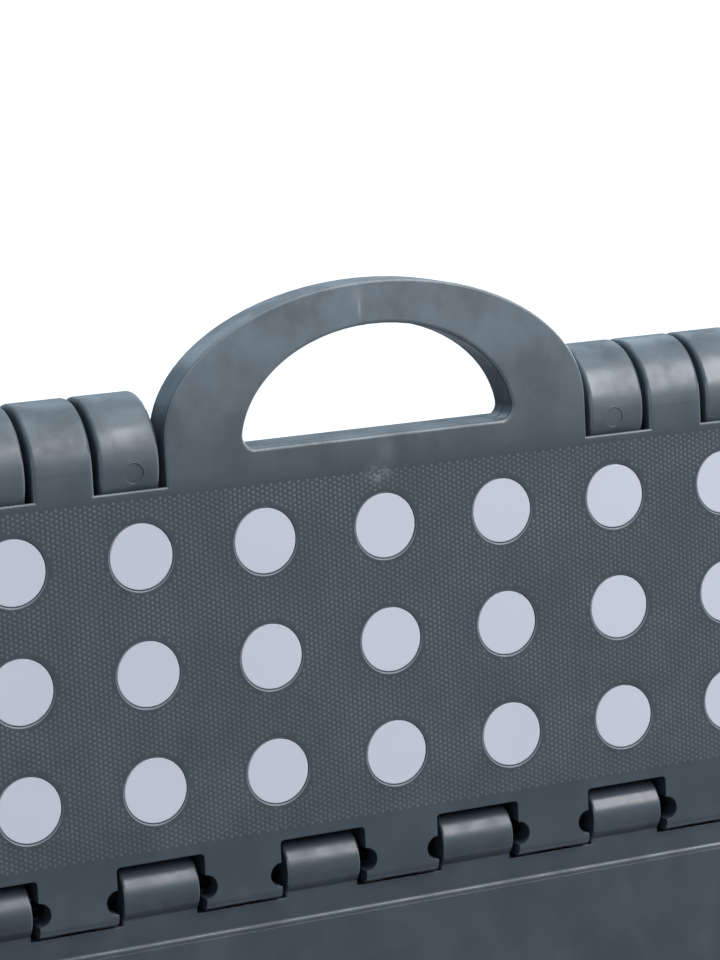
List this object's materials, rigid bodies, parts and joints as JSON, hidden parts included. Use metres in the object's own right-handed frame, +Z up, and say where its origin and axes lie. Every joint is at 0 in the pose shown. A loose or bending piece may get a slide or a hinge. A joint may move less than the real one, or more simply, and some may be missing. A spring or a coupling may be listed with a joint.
{
  "type": "folding step stool",
  "caption": "Folding plastic step stool, folded flat: hinged two-part dotted top with D-shaped carry handle, arched leg boards and folding side panels.",
  "frame": {"origin": "on the floor, under the middle of the folded stool", "axes": "+X across the stool, +Y from the front board to the rear board, +Z up"},
  "size_m": [0.29, 0.0312, 0.3512],
  "materials": {
    "shell": "moulded polypropylene, satin, slate grey",
    "grip": "soft matt grip discs, pale lavender grey",
    "foot": "matt rubber",
    "pin": "drawn steel rod",
    "dark_pin": "blackened steel pin"
  },
  "bodies": {
    "front_leg": {"front_leg": "shell", "front_leg_hinge_pins": "dark_pin", "front_side_pin_left": "pin", "front_side_pin_right": "pin", "front_foot_left": "foot", "front_foot_right": "foot"},
    "top_front": {"top_front": "shell", "grip_discs_front": "grip", "centre_rod_left": "pin", "centre_rod_right": "pin"},
    "top_rear": {"top_rear": "shell", "grip_discs_rear": "grip"},
    "rear_leg": {"rear_leg": "shell", "rear_leg_hinge_pins": "dark_pin", "rear_side_pin_left": "pin", "rear_side_pin_right": "pin", "rear_foot_left": "foot", "rear_foot_right": "foot"},
    "left_front_panel": {"left_front_panel": "shell", "middle_pin_left": "pin"},
    "left_rear_panel": {"left_rear_panel": "shell"},
    "right_front_panel": {"right_front_panel": "shell", "middle_pin_right": "pin"},
    "right_rear_panel": {"right_rear_panel": "shell"}
  },
  "joints": [
    {"name": "open_front_board", "type": "hinge", "parent": "front_leg", "child": "top_front", "pos_m": [0, -0.0081, 0.213], "axis": [-1, 0, 0], "range_deg": [0, 90]},
    {"name": "centre_hinge", "type": "hinge", "parent": "top_front", "child": "top_rear", "pos_m": [0, 0, 0.3141], "axis": [1, 0, 0], "range_deg": [0, 180]},
    {"name": "rear_leg_hinge", "type": "hinge", "parent": "top_rear", "child": "rear_leg", "pos_m": [0, 0.0081, 0.213], "axis": [-1, 0, 0], "range_deg": [0, 90]},
    {"name": "left_front_side_hinge", "type": "hinge", "parent": "front_leg", "child": "left_front_panel", "pos_m": [-0.133, -0.0081, 0.1065], "axis": [0, 0, 1], "range_deg": [0, 90]},
    {"name": "left_middle_hinge", "type": "hinge", "parent": "left_front_panel", "child": "left_rear_panel", "pos_m": [-0.0319, 0, 0.1065], "axis": [0, 0, -1], "range_deg": [0, 180]},
    {"name": "right_front_side_hinge", "type": "hinge", "parent": "front_leg", "child": "right_front_panel", "pos_m": [0.133, -0.0081, 0.1065], "axis": [0, 0, -1], "range_deg": [0, 90]},
    {"name": "right_middle_hinge", "type": "hinge", "parent": "right_front_panel", "child": "right_rear_panel", "pos_m": [0.0319, 0, 0.1065], "axis": [0, 0, 1], "range_deg": [0, 180]}
  ],
  "couplings": [
    {"joint": "centre_hinge", "follows": "open_front_board", "ratio": 2},
    {"joint": "rear_leg_hinge", "follows": "open_front_board", "ratio": 1},
    {"joint": "left_front_side_hinge", "follows": "open_front_board", "ratio": 1},
    {"joint": "left_middle_hinge", "follows": "open_front_board", "ratio": 2},
    {"joint": "right_front_side_hinge", "follows": "open_front_board", "ratio": 1},
    {"joint": "right_middle_hinge", "follows": "open_front_board", "ratio": 2}
  ]
}
